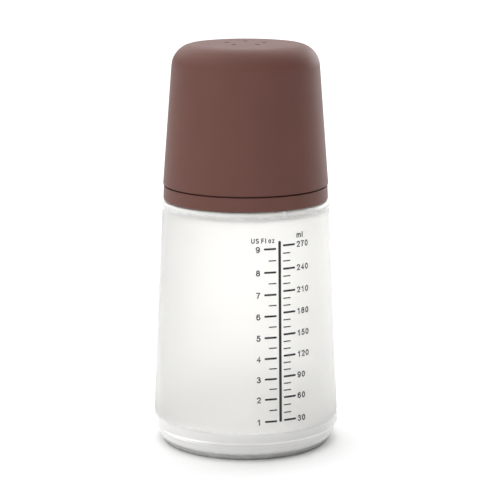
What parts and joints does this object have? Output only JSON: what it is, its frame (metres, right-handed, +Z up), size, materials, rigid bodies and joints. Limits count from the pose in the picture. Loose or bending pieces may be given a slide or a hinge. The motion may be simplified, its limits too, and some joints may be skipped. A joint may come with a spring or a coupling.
{
  "type": "baby bottle",
  "caption": "Wide-neck baby bottle: translucent conical body with a printed volume scale, soft teat, screw ring and a tall domed cover cap with air vents.",
  "frame": {"origin": "on the bottle's axis, in the plane its foot ring stands on", "axes": "+Z up along the bottle's axis, towards the top of the cover cap; -Y is the side with the printed scale"},
  "size_m": [0.0742, 0.0742, 0.1598],
  "materials": {
    "bottle_plastic": "translucent milky polypropylene, satin outside",
    "scale_ink": "flat black screen-printed ink",
    "silicone": "clear matt liquid silicone rubber",
    "ring_plastic": "soft-touch matt cocoa-brown polypropylene",
    "cap_plastic": "soft-touch matt cocoa-brown polypropylene"
  },
  "bodies": {
    "bottle": {"bottle_body": "bottle_plastic", "graduation_scale": "scale_ink"},
    "teat": {"teat": "silicone"},
    "ring": {"screw_ring": "ring_plastic"},
    "cap": {"cover_cap": "cap_plastic"}
  },
  "joints": [
    {"name": "teat_lift", "type": "slide", "parent": "bottle", "child": "teat", "axis": [0, 0, 1], "range_m": [0, 0.01]},
    {"name": "ring_turn", "type": "hinge", "parent": "teat", "child": "ring", "pos_m": [0, 0, 0.106], "axis": [0, 0, 1], "range_deg": [0, 720]},
    {"name": "cap_pull", "type": "slide", "parent": "ring", "child": "cap", "axis": [0, 0, 1], "range_m": [0, 0.06]}
  ],
  "couplings": [
    {"joint": "teat_lift", "follows": "ring_turn", "m_per_rad": 0.00079577}
  ]
}
